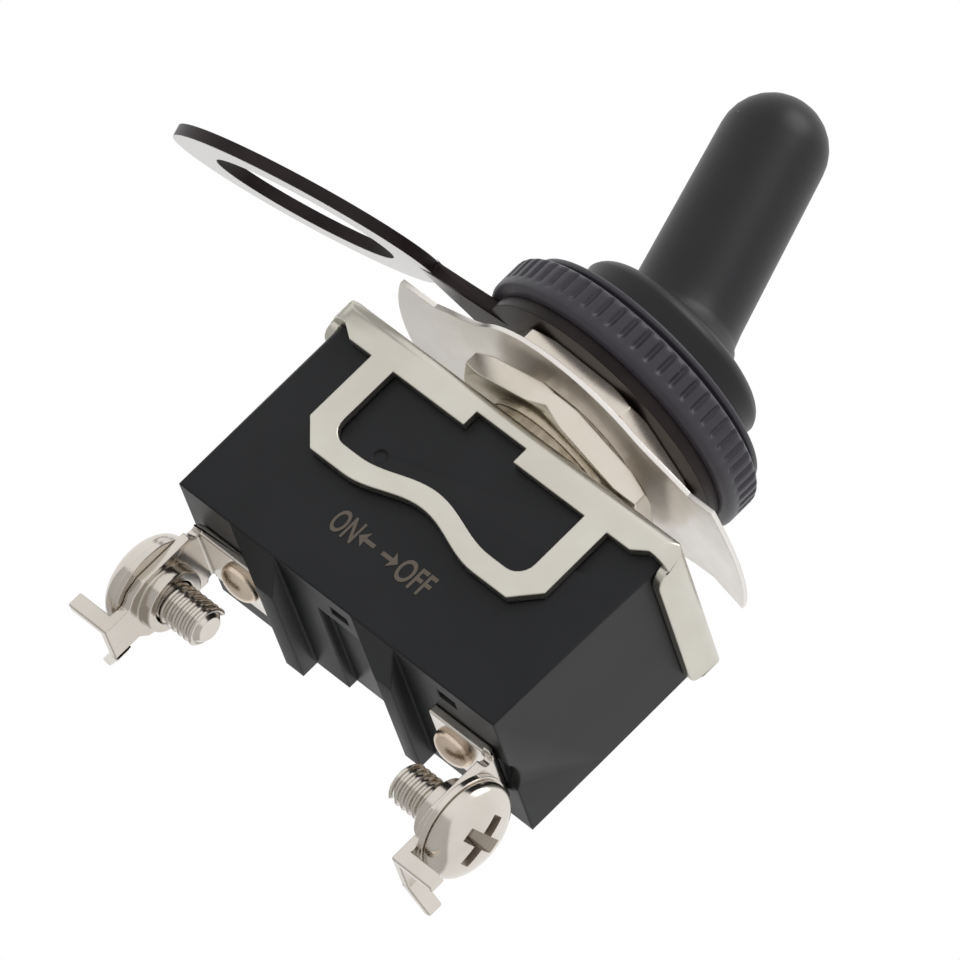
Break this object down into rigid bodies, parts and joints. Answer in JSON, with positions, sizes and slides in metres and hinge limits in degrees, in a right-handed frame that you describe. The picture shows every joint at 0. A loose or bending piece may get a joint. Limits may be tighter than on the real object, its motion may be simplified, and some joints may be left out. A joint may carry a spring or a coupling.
{
  "type": "panel toggle switch",
  "caption": "Panel toggle switch in a moulded case under a steel bracket, with a threaded bushing, clamping nuts and plates, screw terminals and a ribbed rubber boot over its lever.",
  "frame": {"origin": "on the bushing axis, at the bracket's top face where the panel seats", "axes": "+Z along the bushing towards the lever, +X along the case towards the off end, -Y the marked front"},
  "size_m": [0.0561, 0.0299, 0.0651],
  "materials": {
    "case_plastic": "moulded, satin",
    "nickel": "nickel plated",
    "bushing": "nickel plated",
    "steel": "bright",
    "card": "pressed board",
    "plate": "bright rolled sheet",
    "black_plate": "black, satin",
    "rubber": "satin",
    "nylon": "natural",
    "copper": "bright rolled sheet",
    "silver": "bright",
    "terminal": "nickel plated",
    "rivet": "bright"
  },
  "bodies": {
    "housing": {"case": "case_plastic", "bracket": "nickel", "bushing": "bushing", "pivot_pin": "steel", "insulator_card": "card", "hex_nut_lower": "nickel", "wing_plate": "plate", "hex_nut_upper": "nickel", "ring_plate": "black_plate", "boot": "rubber", "boot_nut": "nickel", "fulcrum_strap": "copper", "fixed_strap": "copper", "fixed_contact": "silver", "terminal_left": "terminal", "terminal_right": "terminal", "terminal_rivet_left": "rivet", "terminal_rivet_right": "rivet"},
    "lever": {"lever": "bushing", "plunger_spring": "steel"},
    "plunger": {"plunger": "nylon"},
    "rocker": {"rocker": "copper", "moving_contact": "silver"},
    "screw_left": {"terminal_screw_left": "terminal", "screw_washer_left": "terminal"},
    "screw_right": {"terminal_screw_right": "terminal", "screw_washer_right": "terminal"}
  },
  "joints": [
    {"name": "lever_throw", "type": "hinge", "parent": "housing", "child": "lever", "pos_m": [0, 0, 0.005], "axis": [0, 1, 0], "range_deg": [0, 26], "deforming": ["boot"]},
    {"name": "plunger_slide", "type": "slide", "parent": "lever", "child": "plunger", "axis": [-0.225, 0, 0.9744], "range_m": [0, 0.0008], "stiffness_N_per_m": 800, "springref_m": -0.002, "deforming": ["plunger_spring"]},
    {"name": "rocker_tilt", "type": "hinge", "parent": "housing", "child": "rocker", "pos_m": [0, 0, -0.0132], "axis": [0, 1, 0], "range_deg": [-16, 0]},
    {"name": "screw_left_out", "type": "slide", "parent": "housing", "child": "screw_left", "axis": [-1, 0, 0], "range_m": [0, 0.0025]},
    {"name": "screw_right_out", "type": "slide", "parent": "housing", "child": "screw_right", "axis": [1, 0, 0], "range_m": [0, 0.0025]}
  ],
  "couplings": [
    {"joint": "rocker_tilt", "follows": "lever_throw", "ratio": -0.61538}
  ]
}
